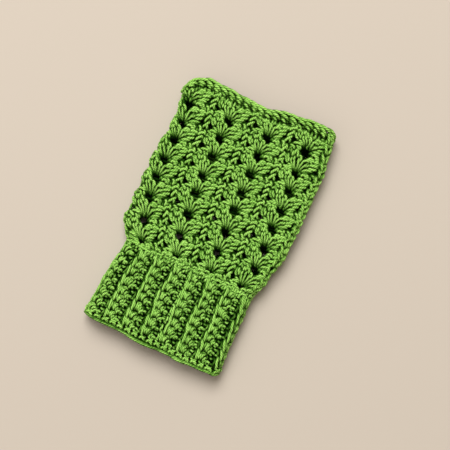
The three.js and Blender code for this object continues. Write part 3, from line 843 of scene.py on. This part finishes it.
EDGE_INSIDE = [
    stroke(0.9, 0.0, (-1.9, 1.2), (-0.8, 2.2), (0.8, 3.0), (1.9, 4.0)),
    stroke(0.9, 0.0, (-1.9, 4.2), (-0.8, 4.9), (0.8, 5.0), (1.9, 5.6)),
]
RIM_LEAN = 0.7  # mm that the two strands of the rim lie to each side of the wall's middle
EDGE_RIM = [
    stroke(0.9, 0.0, (-3.0, 0, lean + 0.4), (-1.0, 0, lean + 0.1), (1.0, 0, lean - 0.1),
           (3.0, 0, lean - 0.4)) for lean in (-RIM_LEAN, RIM_LEAN)
]
print("Strokes in a stitch of the finger and wrist edgings:", len(FINGER_CHAIN), len(WRIST_CHAIN))

# %% Work both edgings
FINGER_ROUND = 186.0  # mm around the finger end
EDGE_SWELL, EDGE_LOOSE, RIM_LOOSE = 0.5, 0.22, 0.06
RIM_INSET = 0.9  # the rim's place, in from the very edge
LINING_RELIEF = 0.4  # how much of a stroke's relief is left on the inner side


def edge_cells(chart, length):
    """A chart repeated once around an open end, and how far around each point lies."""
    count = round(length / EDGE_PITCH)
    laid = repeat([(chart, k, 0) for k in range(count)])
    return laid, (laid["column"] + laid["u"] / EDGE_PITCH) / count


def work_edging(chart, start, length, flattening):
    """The outer side of an edging, pressed flatter at the folds where it is asked."""
    laid, right = edge_cells(chart, length)
    along = start + laid["v"]
    flatter = 1 - flattening * fold_nearness(right, along)
    laid["height"] = laid["height"] * flatter
    return place(laid, right, along, EDGING_SECTION, EDGE_SWELL * flatter, EDGE_LOOSE)


def line_edging(start, length):
    """The inner side of an edging."""
    laid, right = edge_cells(EDGE_INSIDE, length)
    laid["height"] = (2 * laid["radius"] - EDGING_SECTION[0]
                      - LINING_RELIEF * (laid["height"] - DIVE))
    return place(laid, right, start + laid["v"], EDGING_SECTION, 0.0)


def work_rim(along, length):
    """The last chain, over the middle of the wall, so that the edge looks closed."""
    laid, right = edge_cells(EDGE_RIM, length)
    laid["height"] = laid["height"] + laid["radius"] - EDGING_SECTION[0] / 2
    return place(laid, right, along + laid["v"], EDGING_SECTION, 0.0, RIM_LOOSE)


finger_edging = lay_yarn(
    "finger_chain", FINE, EDGING_SECTION, work_edging(FINGER_CHAIN, HAND_END, FINGER_ROUND, 0.0),
    line_edging(HAND_END, FINGER_ROUND), work_rim(MITT_LENGTH - RIM_INSET, FINGER_ROUND),
)
wrist_edging = lay_yarn(
    "wrist_chain", FINE, EDGING_SECTION,
    work_edging(WRIST_CHAIN, 0.0, WRIST_ROUND, FOLD_FLATTENING),
    line_edging(0.0, WRIST_ROUND), work_rim(RIM_INSET, WRIST_ROUND),
)

# %% [markdown]
# ## The yarn's finish
#
# The yarn is smooth, several plies twisted together, bright grass green with a soft sheen. The
# curve gave each strand a UV map: U runs along it, in millimetres, and V around it. A node group
# draws the plies from that, so they wind around each strand whichever way it lies, where a picture
# of yarn would have to be stretched to each loop. It also gives a fine noise for the fibres.

# %% Helpers for nodes
def add(tree, kind, **values):
    """A node with some of its values set."""
    node = tree.nodes.new(kind)
    for key, value in values.items():
        setattr(node, key, value)
    return node


def maths(tree, operation, *inputs):
    """A Math node, fed by numbers or by other nodes' sockets."""
    node = add(tree, "ShaderNodeMath", operation=operation)
    for socket, value in zip(node.inputs, inputs):
        if isinstance(value, (int, float)):
            socket.default_value = value
        else:
            tree.links.new(value, socket)
    return node.outputs[0]


# %% Node group that draws the twisted plies
PLIES, PLY_SPACING = 3.0, 1.6  # plies in the yarn, and how far apart they cross it in mm
PLY_ROUNDNESS = 0.8
FIBRE_SCALE, FIBRE_DETAIL = 2600.0, 2.0
plies = bpy.data.node_groups.new("twisted_plies", "ShaderNodeTree")
for name, direction in (("Spacing", "INPUT"), ("Ply Height", "OUTPUT"), ("Fibre", "OUTPUT")):
    plies.interface.new_socket(name, in_out=direction, socket_type="NodeSocketFloat")
ins, outs = add(plies, "NodeGroupInput"), add(plies, "NodeGroupOutput")
uv = add(plies, "ShaderNodeUVMap", uv_map="UVMap")
split = add(plies, "ShaderNodeSeparateXYZ")
plies.links.new(uv.outputs[0], split.inputs[0])
phase = maths(plies, "ADD", maths(plies, "MULTIPLY", split.outputs[1], PLIES),
              maths(plies, "DIVIDE", split.outputs[0], ins.outputs["Spacing"]))
wave = maths(plies, "ABSOLUTE", maths(plies, "SINE", maths(plies, "MULTIPLY", phase, math.pi)))
plies.links.new(maths(plies, "POWER", wave, PLY_ROUNDNESS), outs.inputs["Ply Height"])
place_of = add(plies, "ShaderNodeTexCoord")
fibre = add(plies, "ShaderNodeTexNoise")
fibre.inputs["Scale"].default_value = FIBRE_SCALE
fibre.inputs["Detail"].default_value = FIBRE_DETAIL
plies.links.new(place_of.outputs["Object"], fibre.inputs["Vector"])
plies.links.new(fibre.outputs[0], outs.inputs["Fibre"])
print("Node group:", plies.name, "with", len(plies.nodes), "nodes")

# %% [markdown]
# The yarn's colour carries painted light and shade. Deep in the fabric it is painted nearly black,
# on a strand's shaded side it is a full green, and where light falls on a ply it is a painted
# highlight of pale yellow green. The three colours are mixed by how much light reaches the point,
# which is the stored "lit", and by the height of the ply. Each strand also has its own small share
# of brightness. Yarn is dull, so the specular level is low, and roughness and sheen do the rest.

# %% The green yarn
# The first colour is painted shade deep in the fabric, the last a painted highlight on the lit
# plies, and the middle green lies between.
PAINTED_SHADE, MIDDLE, PAINTED_HIGHLIGHT = (0.005, 0.035, 0.001), (0.08, 0.33, 0.002), (0.47, 0.86, 0.18)
# The share mixed towards the painted highlight: from the height of the ply, a random share for each
# strand, and the least share.
PLY_SHINE, STRAND_SHINE, LEAST_SHINE = 0.75, 0.3, 0.05
PLY_BUMP, FIBRE_BUMP = 0.0005, 0.3
FIBRE_ROUGHNESS, LEAST_ROUGHNESS = 0.25, 0.45
SHEEN, SHEEN_ROUGHNESS, SHEEN_TINT = 0.01, 0.4, (0.7, 1.0, 0.45, 1)
SPECULAR = 0.05

green = bpy.data.materials.new("twisted_green_yarn")
green.use_nodes = True
tree = green.node_tree
shader = tree.nodes["Principled BSDF"]
group = add(tree, "ShaderNodeGroup", node_tree=plies)
group.inputs["Spacing"].default_value = PLY_SPACING
strand = add(tree, "ShaderNodeNewGeometry")
lit = add(tree, "ShaderNodeAttribute", attribute_name="lit")
print("Material:", green.name, "with the group", group.node_tree.name)

# %% Its colour
# Painted highlight: the tops of the plies, and each strand's random share, are mixed towards the
# pale green, the more the more light reaches them.
shine = maths(tree, "MULTIPLY_ADD", group.outputs["Ply Height"], PLY_SHINE,
              maths(tree, "MULTIPLY_ADD", strand.outputs["Random Per Island"], STRAND_SHINE,
                    LEAST_SHINE))
shine = maths(tree, "MULTIPLY", shine, lit.outputs["Fac"])
top = add(tree, "ShaderNodeMix", data_type="RGBA")
top.inputs["A"].default_value = (*MIDDLE, 1)
top.inputs["B"].default_value = (*PAINTED_HIGHLIGHT, 1)
tree.links.new(shine, top.inputs["Factor"])
# Painted shade: the colour goes towards near black where little light reaches.
whole = add(tree, "ShaderNodeMix", data_type="RGBA")
whole.inputs["A"].default_value = (*PAINTED_SHADE, 1)
tree.links.new(top.outputs["Result"], whole.inputs["B"])
tree.links.new(lit.outputs["Fac"], whole.inputs["Factor"])
tree.links.new(whole.outputs["Result"], shader.inputs["Base Color"])
print("Colours, from deep to light:", PAINTED_SHADE, MIDDLE, PAINTED_HIGHLIGHT)

# %% Its relief and gloss
bump = add(tree, "ShaderNodeBump")
bump.inputs["Strength"].default_value = 1.0
bump.inputs["Distance"].default_value = PLY_BUMP
tree.links.new(maths(tree, "ADD", group.outputs["Ply Height"],
                     maths(tree, "MULTIPLY", group.outputs["Fibre"], FIBRE_BUMP)),
               bump.inputs["Height"])
tree.links.new(bump.outputs[0], shader.inputs["Normal"])
tree.links.new(maths(tree, "MULTIPLY_ADD", group.outputs["Fibre"], FIBRE_ROUGHNESS,
                     LEAST_ROUGHNESS), shader.inputs["Roughness"])
shader.inputs["Sheen Weight"].default_value = SHEEN
shader.inputs["Sheen Roughness"].default_value = SHEEN_ROUGHNESS
shader.inputs["Sheen Tint"].default_value = SHEEN_TINT
shader.inputs["Specular IOR Level"].default_value = SPECULAR
print("Nodes in the material:", len(tree.nodes))

# %% [markdown]
# ## Tie the yarn to the frame
#
# Each yarn piece takes the place of the plain solid that it was laid over. It rides the part's one
# body, and it is listed under the yarn's material slot, so that others can recolour it.

# %% Give the pieces their yarn and their nodes
for piece, node in [
    *((piece, "shell_hand") for piece in hand_pieces),
    *((piece, "ribbed_cuff") for piece in cuff_pieces),
    (finger_edging, "finger_edging"),
    (wrist_edging, "wrist_edging"),
]:
    piece.data.materials.clear()
    piece.data.materials.append(green)
    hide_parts(node)
    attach(piece, "root")

# %% [markdown]
# ## Floor, light and camera
#
# The mitt lies on a plain pale floor under one large soft light from beyond its fingers, with a
# weaker one from the left, and the camera looks almost straight down. A large light gives soft
# shadows, and its low angle is what lets the loops stand out from each other.

# %% Floor
FLOOR_SIZE, FLOOR_LEVEL = 4.0, -0.0002  # a hair below the mitt, so that they never share a face
FLOOR_COLOUR, FLOOR_ROUGHNESS = (0.56, 0.49, 0.415, 1), 0.9
bpy.ops.object.select_all(action="DESELECT")
bpy.ops.mesh.primitive_plane_add(size=FLOOR_SIZE, location=(0, 0, FLOOR_LEVEL))
floor = bpy.context.object
floor.name = "floor"
pale = bpy.data.materials.new("pale_floor")
pale.use_nodes = True
pale_shader = pale.node_tree.nodes["Principled BSDF"]
pale_shader.inputs["Base Color"].default_value = FLOOR_COLOUR
pale_shader.inputs["Roughness"].default_value = FLOOR_ROUGHNESS
floor.data.materials.append(pale)
print("Floor:", floor.name, "with", pale.name)


# %% Lights
def soft_light(name, place_at, power, size):
    """A square area light that faces the origin."""
    data = bpy.data.lights.new(name, "AREA")
    data.energy, data.size = power, size
    lamp = bpy.data.objects.new(name, data)
    bpy.context.scene.collection.objects.link(lamp)
    lamp.location = place_at
    lamp.rotation_euler = (-Vector(place_at)).to_track_quat("-Z", "Y").to_euler()
    print(f"{name}: {power} W, {size} m wide")


ROOM_COLOUR, ROOM_STRENGTH = (1.0, 0.90, 0.74, 1), 0.33
soft_light("window_light", (-0.7, 1.0, 2.15), 68.0, 1.6)
soft_light("fill_light", (-1.2, -0.8, 1.8), 7.0, 2.0)
world = bpy.data.worlds.new("studio")
world.use_nodes = True
background = world.node_tree.nodes["Background"]
background.inputs["Color"].default_value = ROOM_COLOUR
background.inputs["Strength"].default_value = ROOM_STRENGTH
bpy.context.scene.world = world
bpy.context.scene.view_settings.view_transform = "Standard"

# %% Camera at the viewing angle
AZIMUTH, ELEVATION, PICTURE_WIDTH, LENS = 24.5, 85.0, 0.271, 85.0
AIM = Vector((0.0082, 0.0030, 0.012))
a, e = math.radians(AZIMUTH), math.radians(ELEVATION)
back = Vector((math.sin(a) * math.cos(e), -math.cos(a) * math.cos(e), math.sin(e)))
camera_data = bpy.data.cameras.new("camera")
camera_data.lens = LENS
camera = bpy.data.objects.new("camera", camera_data)
bpy.context.scene.collection.objects.link(camera)
camera.location = AIM + back * (PICTURE_WIDTH / camera_data.sensor_width * LENS)
camera.rotation_euler = (-back).to_track_quat("-Z", "Y").to_euler()
bpy.context.scene.camera = camera
print("Camera:", [round(c, 3) for c in camera.location])
